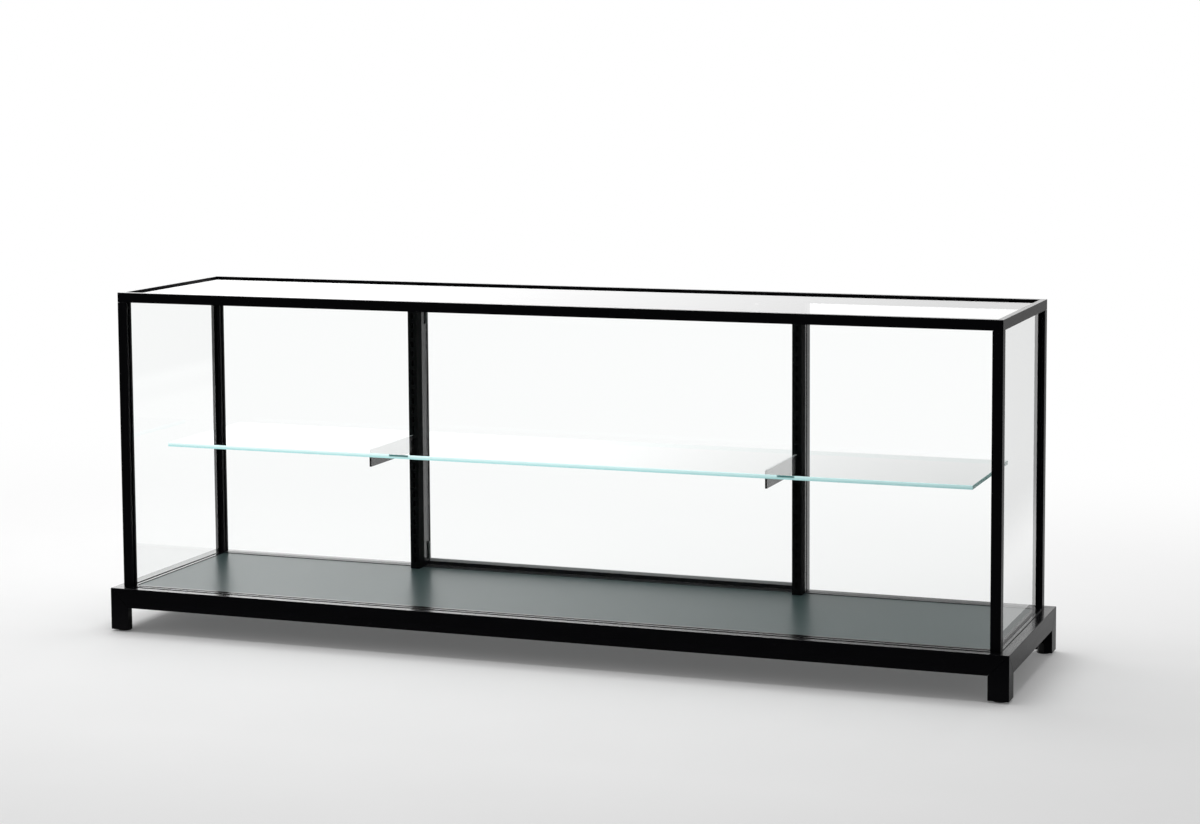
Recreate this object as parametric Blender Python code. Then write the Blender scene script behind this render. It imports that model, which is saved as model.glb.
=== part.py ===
"""A long glazed display case that stands on four short legs.

Metres, +Z up. The origin is on the floor under the middle of the case, +X runs along its length, and the
front, which visitors look through, faces -Y. A framed glass door closes the middle of the back.
"""
import math

import bmesh
import bpy
from mathutils import Matrix, Vector

# Clearances
CLEAR = 0.0003              # gap left between pieces that touch
DECK_GAP = 0.0005           # gap round the loose deck panel
GROOVE_SPARE = 0.0005       # room left past a pane's edge at the bottom of its groove

# Base
CASE_LENGTH = 1.870
CASE_DEPTH = 0.450
CASE_HEIGHT = 0.700
BASE_TOP = 0.090            # height of the base's top face
BASE_BAR = 0.040            # square section of the legs and of the rails between them
SILL_SEAT = 0.017           # depth of the seat in the base that sills and deck drop into
GLIDE_HEIGHT = 0.004
GLIDE_RADIUS = 0.014
STEM_RADIUS = 0.004
STEM_LENGTH = 0.018

# Deck
BEARER = 0.018              # square section of the bearers under the deck
CROSS_BEARER_WIDTH = 0.040
CROSS_BEARER_X = 0.300      # distance of each cross bearer from the middle

# Upper frame
FRAME_INSET = 0.020         # step from the base's outer faces to the upper frame's
FRAME_BAR = 0.020           # width of the sills and square section of posts, mullions and top rails
SILL_RISE = 0.001           # how far the sill stands above the base
GLASS = 0.006
GROOVE_DEPTH = 0.004
SILL_GROOVE = 0.006         # depth of the groove in the sill
LIP_WIDTH = 0.012           # top face of the top rails, outside the seat of the top glass
LIP_DEPTH = 0.014           # depth of that seat below the top
TOP_GLASS = 0.008
MULLION_X = 0.422           # distance of each rear mullion's centre from the middle

# Slotted uprights in front of the mullions
UPRIGHT_WIDTH = 0.020
UPRIGHT_DEPTH = 0.025
UPRIGHT_WALL = 0.002
SLOT_HEIGHT = 0.012
SLOT_PITCH = 0.020
SLOT_END = 0.020            # foot of the upright to the first slot's centre

# Shelf
SHELF_END_GAP = 0.0525      # posts' inner faces to the shelf's ends, if it lay in the middle
SHELF_FRONT_GAP = 0.0327    # posts' inner faces to the shelf's front edge
SHELF_OFFSET = 0.0075       # how far the loose shelf lies to the right of the middle
SHELF_GLASS = 0.008
SHELF_BACK_GAP = 0.002      # shelf's back edge to the uprights
SHELF_SLOT = 12             # slot, counted from the foot, that the lower hooks sit in
BRACKET_REACH = 0.212
BRACKET_HEIGHT = 0.035
BRACKET_THICKNESS = 0.004
BRACKET_BELOW_SLOT = 0.0085  # lower edge of the bracket to the centre of its lower slot
TONGUE_HEIGHT = 0.005
HOOK_DROP = 0.004
HOOK_THICKNESS = 0.0025
PAD_THICKNESS = 0.0012
PAD_END = 0.006             # bracket's ends to the pad's

# Rear door
DOOR_THICKNESS = 0.014
DOOR_STILE = 0.020
DOOR_BOTTOM_RAIL = 0.008
DOOR_TOP_RAIL = 0.040
DOOR_TOP_LAP = 0.014        # how far the door laps up over the top rail
DOOR_FOOT_GAP = 0.001
DOOR_FACE_GAP = 0.0006
DOOR_GLASS = 0.005
BEAD_HEIGHT = 0.0065
PULL_WIDTH = 0.012
PULL_HEIGHT = 0.060
PULL_DEPTH = 0.0045
PULL_Z = 0.380
PLATE_THICKNESS = 0.0035    # backing plate of a hinge, on the inner face of the stile

# Lift-off hinges
HINGE_HEIGHT = 0.038
HINGE_LEAF = 0.002
HINGE_LEAF_WIDTH = 0.018
HINGE_END = 0.012           # door's ends to the hinges
KNUCKLE_RADIUS = 0.0045
KNUCKLE_GAP = 0.001         # knuckle to the door's edge
PIN_RADIUS = 0.0015
PIN_CLEAR = 0.0003
ARM_RIGHT = 0.003           # arm of the door leaf, to the right and left of the axis
ARM_LEFT = 0.0015

# Cam lock in the door's top rail
LOCK_X = 0.330
BARREL_RADIUS = 0.0075
BARREL_FLANGE = 0.011
FLANGE_THICKNESS = 0.0017
PLUG_RADIUS = 0.005
PLUG_PROUD = 0.0008
CAM_GAP = 0.0015            # cam to the inner face of the top rail
CAM_THICKNESS = 0.003
CAM_HALF_WIDTH = 0.0055
CAM_CATCH = 0.0045          # how far the turned cam reaches up behind the rail
KEYWAY_WIDTH = 0.0014
KEYWAY_HEIGHT = 0.006
KEYWAY_DEPTH = 0.003

SEGMENTS = 32               # sides of a round piece
SNAP = 0.000002             # points this close to a cut lie on it

# Sizes that follow from those above
HALF_X = CASE_LENGTH / 2
HALF_Y = CASE_DEPTH / 2
FRAME_X = HALF_X - FRAME_INSET
FRAME_Y = HALF_Y - FRAME_INSET
INNER_X = FRAME_X - FRAME_BAR
INNER_Y = FRAME_Y - FRAME_BAR
SILL_TOP = BASE_TOP + SILL_RISE
SILL_BOTTOM = BASE_TOP - SILL_SEAT
RAIL_BOTTOM = CASE_HEIGHT - FRAME_BAR
GROOVE = GLASS + 2 * CLEAR
GROOVE_NEAR = (FRAME_BAR - GROOVE) / 2
GROOVE_FAR = (FRAME_BAR + GROOVE) / 2
PANE_X = FRAME_X - FRAME_BAR / 2
PANE_Y = FRAME_Y - FRAME_BAR / 2
PANE_LAP = GROOVE_DEPTH - GROOVE_SPARE
PANE_BOTTOM = SILL_TOP - SILL_GROOVE + GROOVE_SPARE
PANE_TOP = RAIL_BOTTOM + PANE_LAP
MULLION_OUT = MULLION_X + FRAME_BAR / 2
MULLION_IN = MULLION_X - FRAME_BAR / 2
UPRIGHT_BACK = INNER_Y - CLEAR
UPRIGHT_FRONT = UPRIGHT_BACK - UPRIGHT_DEPTH
UPRIGHT_FOOT = BASE_TOP + CLEAR
SLOT_WIDTH = BRACKET_THICKNESS + 2 * CLEAR
BRACKET_BACK = UPRIGHT_FRONT - CLEAR
BRACKET_BOTTOM = UPRIGHT_FOOT + SLOT_END + SHELF_SLOT * SLOT_PITCH - BRACKET_BELOW_SLOT
BRACKET_TOP = BRACKET_BOTTOM + BRACKET_HEIGHT
SHELF_BOTTOM = BRACKET_TOP + PAD_THICKNESS + 2 * CLEAR
SHELF_LENGTH = 2 * (INNER_X - SHELF_END_GAP)
SHELF_FRONT = SHELF_FRONT_GAP - INNER_Y
DOOR_FRONT = FRAME_Y + DOOR_FACE_GAP
DOOR_BACK = DOOR_FRONT + DOOR_THICKNESS
DOOR_MIDDLE = (DOOR_FRONT + DOOR_BACK) / 2
DOOR_BOTTOM = BASE_TOP + DOOR_FOOT_GAP
DOOR_TOP = RAIL_BOTTOM + DOOR_TOP_LAP
DOOR_INNER_X = MULLION_OUT - DOOR_STILE
DOOR_GROOVE = DOOR_GLASS + 2 * CLEAR
HINGE_X = -MULLION_OUT - KNUCKLE_GAP - KNUCKLE_RADIUS
LOCK_Z = (DOOR_TOP - DOOR_TOP_RAIL + GROOVE_DEPTH + RAIL_BOTTOM) / 2
CAM_BACK = INNER_Y - CAM_GAP

# Colour, roughness, metallic and transmission of each finish
BLACK_METAL = ((0.013, 0.013, 0.014), 0.36, 0.85, 0.0)
DARK_METAL = ((0.060, 0.060, 0.062), 0.40, 0.90, 0.0)
GREY_METAL = ((0.300, 0.300, 0.310), 0.35, 1.00, 0.0)
DECK_GREY = ((0.260, 0.270, 0.270), 0.42, 0.0, 0.0)
CLEAR_GLASS = ((0.900, 0.960, 0.940), 0.02, 0.0, 1.0)
BLACK_RUBBER = ((0.020, 0.020, 0.020), 0.80, 0.0, 0.0)
SOFT_CLEAR = ((0.800, 0.820, 0.820), 0.50, 0.0, 0.6)


def clear_scene():
    """Removes whatever the open file holds."""
    for item in list(bpy.data.objects):
        bpy.data.objects.remove(item, do_unlink=True)


def make_material(name, finish):
    """One Principled material for one piece."""
    colour, roughness, metallic, transmission = finish
    material = bpy.data.materials.new(name)
    material.use_nodes = True
    shader = material.node_tree.nodes["Principled BSDF"]
    shader.inputs["Base Color"].default_value = (*colour, 1.0)
    shader.inputs["Roughness"].default_value = roughness
    shader.inputs["Metallic"].default_value = metallic
    shader.inputs["Transmission Weight"].default_value = transmission
    return material


def add_object(name, bm, origin, parent=None):
    """Turns a mesh drawn in world coordinates into an object that is placed at its own origin."""
    origin = Vector(origin)
    bmesh.ops.translate(bm, vec=-origin, verts=bm.verts)
    bmesh.ops.recalc_face_normals(bm, faces=bm.faces)
    mesh = bpy.data.meshes.new(name)
    bm.to_mesh(mesh)
    bm.free()
    item = bpy.data.objects.new(name, mesh)
    item.location = origin - parent.location if parent else origin
    item.parent = parent
    bpy.context.scene.collection.objects.link(item)
    return item


def add_piece(name, bm, finish, origin, parent=None, smooth=False):
    """Adds one named sub-part with its own material."""
    item = add_object(name, bm, origin, parent)
    item.data.materials.append(make_material(name, finish))
    if smooth:
        item.data.shade_smooth()
        item.data.set_sharp_from_angle(angle=math.radians(35))
    return item


def boolean(item, tool_bm, operation="DIFFERENCE"):
    """Cuts or joins a second mesh, drawn in world coordinates, with a piece."""
    origin = item.location + item.parent.location if item.parent else item.location
    tool = add_object(item.name + "_cutter", tool_bm, origin, item.parent)
    tool.hide_render = True
    tool.display_type = "WIRE"
    modifier = item.modifiers.new("Boolean", "BOOLEAN")
    modifier.object = tool
    modifier.operation = operation
    modifier.solver = "EXACT"


def add_box(bm, low, high):
    """Adds a box between two corners to a mesh."""
    low = Vector(low)
    high = Vector(high)
    matrix = Matrix.Translation((low + high) / 2) @ Matrix.Diagonal((*(high - low), 1.0))
    bmesh.ops.create_cube(bm, size=1.0, matrix=matrix)


def box(low, high):
    """A mesh holding one box."""
    bm = bmesh.new()
    add_box(bm, low, high)
    return bm


def extrude_outline(points, start, end, place):
    """Extrudes an outline; place(a, b, t) says where outline point a, b lies at distance t."""
    bm = bmesh.new()
    first = [bm.verts.new(place(a, b, start)) for a, b in points]
    last = [bm.verts.new(place(a, b, end)) for a, b in points]
    bm.faces.new(first)
    bm.faces.new(reversed(last))
    count = len(points)
    for i in range(count):
        after = (i + 1) % count
        bm.faces.new((first[i], last[i], last[after], first[after]))
    return bm


def spin_profile(points, centre, along):
    """Turns a closed outline of radius and distance points round an axis."""
    bm = bmesh.new()
    across = Vector(along).orthogonal().normalized()
    verts = [bm.verts.new(Vector(centre) + across * r + Vector(along) * t) for r, t in points]
    edges = [bm.edges.new(pair) for pair in zip(verts, verts[1:] + verts[:1])]
    turn = {"cent": centre, "axis": along, "angle": math.tau, "steps": SEGMENTS}
    bmesh.ops.spin(bm, geom=verts + edges, use_merge=True, **turn)
    bmesh.ops.remove_doubles(bm, verts=bm.verts, dist=SNAP)
    bmesh.ops.delete(bm, geom=[edge for edge in bm.edges if not edge.link_faces], context="EDGES")
    return bm


def rod(radius, start, end, centre, along):
    """A round rod between two distances along an axis."""
    return spin_profile([(0, start), (radius, start), (radius, end), (0, end)], centre, along)


def arc(radius, start, end, steps):
    """Points on a circle round 0, 0 between two angles in degrees."""
    angles = [math.radians(start + (end - start) * i / steps) for i in range(steps + 1)]
    return [(radius * math.cos(angle), radius * math.sin(angle)) for angle in angles]


def clip(bm, point, normal):
    """Cuts a mesh with a plane, drops the side the normal points to and closes the cut."""
    geometry = bm.verts[:] + bm.edges[:] + bm.faces[:]
    bmesh.ops.bisect_plane(bm, geom=geometry, dist=SNAP, plane_co=point, plane_no=normal, clear_outer=True)
    open_edges = [edge for edge in bm.edges if edge.is_boundary]
    bmesh.ops.holes_fill(bm, edges=open_edges, sides=0)


def mitre(bm, corner, more, less):
    """Keeps the side of a corner where the distance along one inward axis exceeds that along another."""
    clip(bm, corner + more * CLEAR / math.sqrt(2), less - more)


def corner_axes(x_side, y_side):
    """Unit vectors that point inward from an outer top corner."""
    return Vector((-x_side, 0, 0)), Vector((0, -y_side, 0)), Vector((0, 0, -1))


def mitred_bar(outline, half_x, half_y, top, side, runs_along_x, three_way):
    """A rail whose outline is given as distance in from the outer face and height, mitred at both ends."""
    if runs_along_x:
        bm = extrude_outline(outline, -half_x, half_x, lambda a, b, t: (t, side * (half_y - a), b))
    else:
        bm = extrude_outline(outline, -half_y, half_y, lambda a, b, t: (side * (half_x - a), t, b))
    for end in (-1, 1):
        x_side, y_side = (end, side) if runs_along_x else (side, end)
        corner = Vector((x_side * half_x, y_side * half_y, top))
        along_x, along_y, down = corner_axes(x_side, y_side)
        along, across = (along_x, along_y) if runs_along_x else (along_y, along_x)
        mitre(bm, corner, along, across)
        if three_way:
            mitre(bm, corner, along, down)
    return bm


def corner_names():
    """Name, X side and Y side of each corner."""
    for y_name, y_side in (("front", -1), ("rear", 1)):
        for x_name, x_side in (("left", -1), ("right", 1)):
            yield y_name + "_" + x_name, x_side, y_side


def rail_names():
    """Name, side and direction of the four rails of a rectangular frame."""
    yield "front", -1, True
    yield "rear", 1, True
    yield "left", -1, False
    yield "right", 1, False


def rail_origin(half_x, half_y, height, side, runs_along_x):
    """Middle of a rail's outer face."""
    return (0, side * half_y, height) if runs_along_x else (side * half_x, 0, height)


def build_base():
    """Legs, glides and the rails between the legs, which meet in three-way mitres."""
    for name, x_side, y_side in corner_names():
        corner = Vector((x_side * HALF_X, y_side * HALF_Y, BASE_TOP))
        along_x, along_y, down = corner_axes(x_side, y_side)
        inner = corner + (along_x + along_y) * BASE_BAR
        low = (min(corner.x, inner.x), min(corner.y, inner.y), GLIDE_HEIGHT)
        high = (max(corner.x, inner.x), max(corner.y, inner.y), BASE_TOP)
        bm = box(low, high)
        mitre(bm, corner, down, along_x)
        mitre(bm, corner, down, along_y)
        foot = corner + (along_x + along_y) * BASE_BAR / 2
        foot.z = 0
        leg = add_piece("leg_" + name, bm, BLACK_METAL, foot + Vector((0, 0, GLIDE_HEIGHT)))
        hole_top = GLIDE_HEIGHT + STEM_LENGTH + CLEAR
        boolean(leg, rod(STEM_RADIUS + CLEAR, 0, hole_top, foot, (0, 0, 1)))
        disc_top = GLIDE_HEIGHT - CLEAR
        stem_top = GLIDE_HEIGHT + STEM_LENGTH - CLEAR
        profile = [(0, 0), (GLIDE_RADIUS, 0), (GLIDE_RADIUS, disc_top), (STEM_RADIUS, disc_top)]
        profile += [(STEM_RADIUS, stem_top), (0, stem_top)]
        add_piece("glide_" + name, spin_profile(profile, foot, (0, 0, 1)), BLACK_RUBBER, foot, smooth=True)
    bottom = BASE_TOP - BASE_BAR
    seat_in = FRAME_INSET - CLEAR
    seat = SILL_BOTTOM - CLEAR
    outline = [(0, bottom), (BASE_BAR, bottom), (BASE_BAR, seat), (seat_in, seat)]
    outline += [(seat_in, BASE_TOP), (0, BASE_TOP)]
    for name, side, runs_along_x in rail_names():
        bm = mitred_bar(outline, HALF_X, HALF_Y, BASE_TOP, side, runs_along_x, True)
        origin = rail_origin(HALF_X, HALF_Y, BASE_TOP, side, runs_along_x)
        add_piece("base_rail_" + name, bm, BLACK_METAL, origin)


def build_deck():
    """The deck panel and the bearers that carry it between the base rails."""
    half_x = HALF_X - BASE_BAR
    half_y = HALF_Y - BASE_BAR
    top = SILL_BOTTOM - CLEAR
    bottom = top - BEARER
    for name, side in (("front", -1), ("rear", 1)):
        outer = side * (half_y - CLEAR)
        inner = side * (half_y - CLEAR - BEARER)
        low = (-half_x + CLEAR, min(outer, inner), bottom)
        high = (half_x - CLEAR, max(outer, inner), top)
        add_piece("deck_bearer_" + name, box(low, high), DARK_METAL, (0, (outer + inner) / 2, bottom))
    cross_y = half_y - BEARER - 2 * CLEAR
    for name, side in (("left", -1), ("right", 1)):
        middle = side * CROSS_BEARER_X
        low = (middle - CROSS_BEARER_WIDTH / 2, -cross_y, bottom)
        high = (middle + CROSS_BEARER_WIDTH / 2, cross_y, top)
        add_piece("deck_cross_bearer_" + name, box(low, high), DARK_METAL, (middle, 0, bottom))
    deck_x = min(INNER_X, half_x) - DECK_GAP
    deck_y = min(INNER_Y, half_y) - DECK_GAP
    deck = box((-deck_x, -deck_y, SILL_BOTTOM), (deck_x, deck_y, BASE_TOP))
    add_piece("deck_panel", deck, DECK_GREY, (0, 0, SILL_BOTTOM))


def rear_groove(low_z, high_z):
    """Cutter for the glass grooves of the two rear side bays, between posts and mullions."""
    bm = bmesh.new()
    for side in (-1, 1):
        ends = sorted((side * (INNER_X + PANE_LAP), side * (MULLION_OUT - PANE_LAP)))
        low = (ends[0] - GROOVE_SPARE, FRAME_Y - GROOVE_FAR, low_z)
        high = (ends[1] + GROOVE_SPARE, FRAME_Y - GROOVE_NEAR, high_z)
        add_box(bm, low, high)
    return bm


def build_sills():
    """The mitred sill that sits in the base and carries the posts and panes."""
    plain = [(0, SILL_BOTTOM), (FRAME_BAR, SILL_BOTTOM), (FRAME_BAR, SILL_TOP), (0, SILL_TOP)]
    groove_floor = SILL_TOP - SILL_GROOVE
    groove = [(GROOVE_FAR, SILL_TOP), (GROOVE_FAR, groove_floor), (GROOVE_NEAR, groove_floor)]
    groove += [(GROOVE_NEAR, SILL_TOP)]
    grooved = plain[:3] + groove + plain[3:]
    for name, side, runs_along_x in rail_names():
        outline = plain if name == "rear" else grooved
        bm = mitred_bar(outline, FRAME_X, FRAME_Y, SILL_TOP, side, runs_along_x, False)
        origin = rail_origin(FRAME_X, FRAME_Y, SILL_TOP, side, runs_along_x)
        sill = add_piece("sill_" + name, bm, BLACK_METAL, origin)
        if name == "rear":
            boolean(sill, rear_groove(groove_floor, SILL_TOP + FRAME_BAR))


def build_top_rails():
    """The mitred top frame, with a seat for the top glass and grooves for the panes below."""
    seat = CASE_HEIGHT - LIP_DEPTH
    groove_roof = RAIL_BOTTOM + GROOVE_DEPTH
    plain = [(0, RAIL_BOTTOM), (FRAME_BAR, RAIL_BOTTOM), (FRAME_BAR, seat), (LIP_WIDTH, seat)]
    plain += [(LIP_WIDTH, CASE_HEIGHT), (0, CASE_HEIGHT)]
    groove = [(GROOVE_NEAR, RAIL_BOTTOM), (GROOVE_NEAR, groove_roof), (GROOVE_FAR, groove_roof)]
    groove += [(GROOVE_FAR, RAIL_BOTTOM)]
    grooved = plain[:1] + groove + plain[1:]
    for name, side, runs_along_x in rail_names():
        outline = plain if name == "rear" else grooved
        bm = mitred_bar(outline, FRAME_X, FRAME_Y, CASE_HEIGHT, side, runs_along_x, False)
        origin = rail_origin(FRAME_X, FRAME_Y, CASE_HEIGHT, side, runs_along_x)
        rail = add_piece("top_rail_" + name, bm, BLACK_METAL, origin)
        if name == "rear":
            boolean(rail, rear_groove(RAIL_BOTTOM - FRAME_BAR, groove_roof))


def build_posts():
    """Corner posts with two grooves each, and the two rear mullions with one."""
    bar = FRAME_BAR
    floor = FRAME_BAR - GROOVE_DEPTH
    near = GROOVE_NEAR
    far = GROOVE_FAR
    outline = [(0, 0), (bar, 0), (bar, near), (floor, near), (floor, far), (bar, far), (bar, bar)]
    outline += [(far, bar), (far, floor), (near, floor), (near, bar), (0, bar)]
    bottom = SILL_TOP + CLEAR
    top = RAIL_BOTTOM - CLEAR
    for name, x_side, y_side in corner_names():

        def place(a, b, t, x_side=x_side, y_side=y_side):
            return x_side * (FRAME_X - a), y_side * (FRAME_Y - b), t

        origin = place(bar / 2, bar / 2, bottom)
        add_piece("post_" + name, extrude_outline(outline, bottom, top, place), BLACK_METAL, origin)
    outline = [(0, 0), (bar, 0), (bar, near), (floor, near), (floor, far), (bar, far), (bar, bar), (0, bar)]
    for name, side in (("left", -1), ("right", 1)):

        def place(a, b, t, side=side):
            return side * (MULLION_IN + a), INNER_Y + b, t

        origin = place(bar / 2, bar / 2, bottom)
        add_piece("mullion_" + name, extrude_outline(outline, bottom, top, place), BLACK_METAL, origin)


def build_panes():
    """The fixed panes, whose edges sit in the grooves, and the top glass in its seat."""
    half = GLASS / 2
    reach_x = INNER_X + PANE_LAP
    reach_y = INNER_Y + PANE_LAP
    pane = box((-reach_x, -PANE_Y - half, PANE_BOTTOM), (reach_x, -PANE_Y + half, PANE_TOP))
    add_piece("pane_front", pane, CLEAR_GLASS, (0, -PANE_Y, PANE_BOTTOM))
    for name, side in (("left", -1), ("right", 1)):
        middle = side * PANE_X
        pane = box((middle - half, -reach_y, PANE_BOTTOM), (middle + half, reach_y, PANE_TOP))
        add_piece("pane_" + name, pane, CLEAR_GLASS, (middle, 0, PANE_BOTTOM))
        ends = sorted((side * reach_x, side * (MULLION_OUT - PANE_LAP)))
        pane = box((ends[0], PANE_Y - half, PANE_BOTTOM), (ends[1], PANE_Y + half, PANE_TOP))
        add_piece("pane_rear_" + name, pane, CLEAR_GLASS, (sum(ends) / 2, PANE_Y, PANE_BOTTOM))
    half_x = FRAME_X - LIP_WIDTH - GROOVE_SPARE
    half_y = FRAME_Y - LIP_WIDTH - GROOVE_SPARE
    bottom = CASE_HEIGHT - LIP_DEPTH + CLEAR
    pane = box((-half_x, -half_y, bottom), (half_x, half_y, bottom + TOP_GLASS))
    add_piece("pane_top", pane, CLEAR_GLASS, (0, 0, bottom))


def build_uprights():
    """Two slotted tubes that the shelf brackets hook into."""
    top = RAIL_BOTTOM - CLEAR
    wall = UPRIGHT_WALL
    slots = int((top - UPRIGHT_FOOT - 2 * SLOT_END) / SLOT_PITCH) + 1
    for name, side in (("left", -1), ("right", 1)):
        low = Vector((side * MULLION_X - UPRIGHT_WIDTH / 2, UPRIGHT_FRONT, UPRIGHT_FOOT))
        high = Vector((side * MULLION_X + UPRIGHT_WIDTH / 2, UPRIGHT_BACK, top))
        bm = box(low, high)
        ends = [face for face in bm.faces if abs(face.normal.z) > abs(face.normal.x + face.normal.y)]
        bmesh.ops.inset_individual(bm, faces=ends, thickness=wall, use_even_offset=True)
        loops = [face.verts[:] for face in ends]
        bmesh.ops.delete(bm, geom=ends, context="FACES_ONLY")
        rims = [[edge for edge in bm.edges if edge.is_boundary and edge.verts[0] in loop] for loop in loops]
        bmesh.ops.bridge_loops(bm, edges=rims[0] + rims[1])
        foot = (side * MULLION_X, UPRIGHT_BACK, UPRIGHT_FOOT)
        upright = add_piece("upright_" + name, bm, BLACK_METAL, foot)
        cutter = bmesh.new()
        for i in range(slots):
            middle = UPRIGHT_FOOT + SLOT_END + i * SLOT_PITCH
            half = Vector((SLOT_WIDTH / 2, wall, SLOT_HEIGHT / 2))
            centre = Vector((side * MULLION_X, UPRIGHT_FRONT, middle))
            add_box(cutter, centre - half - Vector((0, wall, 0)), centre + half + Vector((0, wall, 0)))
        boolean(upright, cutter)


def hook_outline(slot):
    """Outline of one hook, from below upward, behind the bracket's back edge."""
    tongue = UPRIGHT_FOOT + SLOT_END + slot * SLOT_PITCH - SLOT_HEIGHT / 2 + CLEAR
    inside = UPRIGHT_FRONT + UPRIGHT_WALL + CLEAR
    tip = inside + HOOK_THICKNESS
    low = tongue - HOOK_DROP
    high = tongue + TONGUE_HEIGHT
    points = [(BRACKET_BACK, tongue), (inside, tongue), (inside, low), (tip, low)]
    return points + [(tip, high), (BRACKET_BACK, high)]


def build_shelf():
    """Hooked brackets, the pads on them and the glass shelf."""
    front = UPRIGHT_FRONT - BRACKET_REACH
    outline = [(front, BRACKET_BOTTOM), (BRACKET_BACK, BRACKET_BOTTOM)]
    outline += hook_outline(SHELF_SLOT) + hook_outline(SHELF_SLOT + 1)
    outline += [(BRACKET_BACK, BRACKET_TOP), (front, BRACKET_TOP)]
    half = BRACKET_THICKNESS / 2
    for name, side in (("left", -1), ("right", 1)):
        middle = side * MULLION_X
        bm = extrude_outline(outline, middle - half, middle + half, lambda a, b, t: (t, a, b))
        add_piece("shelf_bracket_" + name, bm, BLACK_METAL, (middle, BRACKET_BACK, BRACKET_BOTTOM))
        low = (middle - half, front + PAD_END, BRACKET_TOP + CLEAR)
        high = (middle + half, BRACKET_BACK - PAD_END, BRACKET_TOP + CLEAR + PAD_THICKNESS)
        add_piece("shelf_pad_" + name, box(low, high), SOFT_CLEAR, (middle, front, BRACKET_TOP))
    back = UPRIGHT_FRONT - SHELF_BACK_GAP
    low = (SHELF_OFFSET - SHELF_LENGTH / 2, SHELF_FRONT, SHELF_BOTTOM)
    high = (SHELF_OFFSET + SHELF_LENGTH / 2, back, SHELF_BOTTOM + SHELF_GLASS)
    add_piece("shelf_glass", box(low, high), CLEAR_GLASS, (SHELF_OFFSET, back, SHELF_BOTTOM))


def build_door():
    """The framed glass door, hung on an empty that stands on the hinge axis."""
    pivot = bpy.data.objects.new("door_axis", None)
    pivot.location = (HINGE_X, DOOR_MIDDLE, DOOR_BOTTOM)
    bpy.context.scene.collection.objects.link(pivot)
    near = (DOOR_THICKNESS - DOOR_GROOVE) / 2
    far = (DOOR_THICKNESS + DOOR_GROOVE) / 2
    groove_x = DOOR_STILE - GROOVE_DEPTH
    outline = [(0, 0), (DOOR_STILE, 0), (DOOR_STILE, near), (groove_x, near), (groove_x, far)]
    outline += [(DOOR_STILE, far), (DOOR_STILE, DOOR_THICKNESS), (0, DOOR_THICKNESS)]
    for name, side in (("left", -1), ("right", 1)):

        def place(a, b, t, side=side):
            return side * (MULLION_OUT - a), DOOR_FRONT + b, t

        bm = extrude_outline(outline, DOOR_BOTTOM, DOOR_TOP, place)
        add_piece("door_stile_" + name, bm, BLACK_METAL, place(0, 0, DOOR_BOTTOM), pivot)
    half = DOOR_INNER_X - CLEAR
    bottom_rail = ("bottom", DOOR_BOTTOM, 1, DOOR_BOTTOM_RAIL)
    top_rail = ("top", DOOR_TOP, -1, DOOR_TOP_RAIL)
    for name, edge, rise, height in (bottom_rail, top_rail):
        lip = height - GROOVE_DEPTH
        outline = [(0, 0), (DOOR_THICKNESS, 0), (DOOR_THICKNESS, height), (far, height), (far, lip)]
        outline += [(near, lip), (near, height), (0, height)]

        def place(a, b, t, edge=edge, rise=rise):
            return t, DOOR_FRONT + a, edge + rise * b

        bm = extrude_outline(outline, -half, half, place)
        rail = add_piece("door_rail_" + name, bm, BLACK_METAL, place(0, 0, 0), pivot)
        if name == "top":
            centre = (LOCK_X, 0, LOCK_Z)
            start = DOOR_FRONT - DOOR_THICKNESS
            boolean(rail, rod(BARREL_RADIUS + CLEAR, start, DOOR_BACK + DOOR_THICKNESS, centre, (0, 1, 0)))
    lap = GROOVE_DEPTH - GROOVE_SPARE
    glass_bottom = DOOR_BOTTOM + DOOR_BOTTOM_RAIL
    glass_top = DOOR_TOP - DOOR_TOP_RAIL
    half = DOOR_GLASS / 2
    low = (-DOOR_INNER_X - lap, DOOR_MIDDLE - half, glass_bottom - lap)
    high = (DOOR_INNER_X + lap, DOOR_MIDDLE + half, glass_top + lap)
    add_piece("door_glass", box(low, high), CLEAR_GLASS, (0, DOOR_MIDDLE, glass_bottom), pivot)
    bead_end = DOOR_INNER_X - PLATE_THICKNESS - 2 * CLEAR
    bead_bottom = glass_bottom + CLEAR
    low = (-bead_end, DOOR_FRONT, bead_bottom)
    high = (bead_end, DOOR_MIDDLE - half - CLEAR, bead_bottom + BEAD_HEIGHT)
    add_piece("door_bead", box(low, high), GREY_METAL, (0, DOOR_FRONT, bead_bottom), pivot)
    middle = MULLION_OUT - DOOR_STILE / 2
    low = (middle - PULL_WIDTH / 2, DOOR_BACK + CLEAR, PULL_Z - PULL_HEIGHT / 2)
    high = (middle + PULL_WIDTH / 2, DOOR_BACK + CLEAR + PULL_DEPTH, PULL_Z + PULL_HEIGHT / 2)
    add_piece("door_pull", box(low, high), BLACK_METAL, (middle, DOOR_BACK, PULL_Z), pivot)
    build_hinges(pivot)
    build_lock(pivot)


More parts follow.
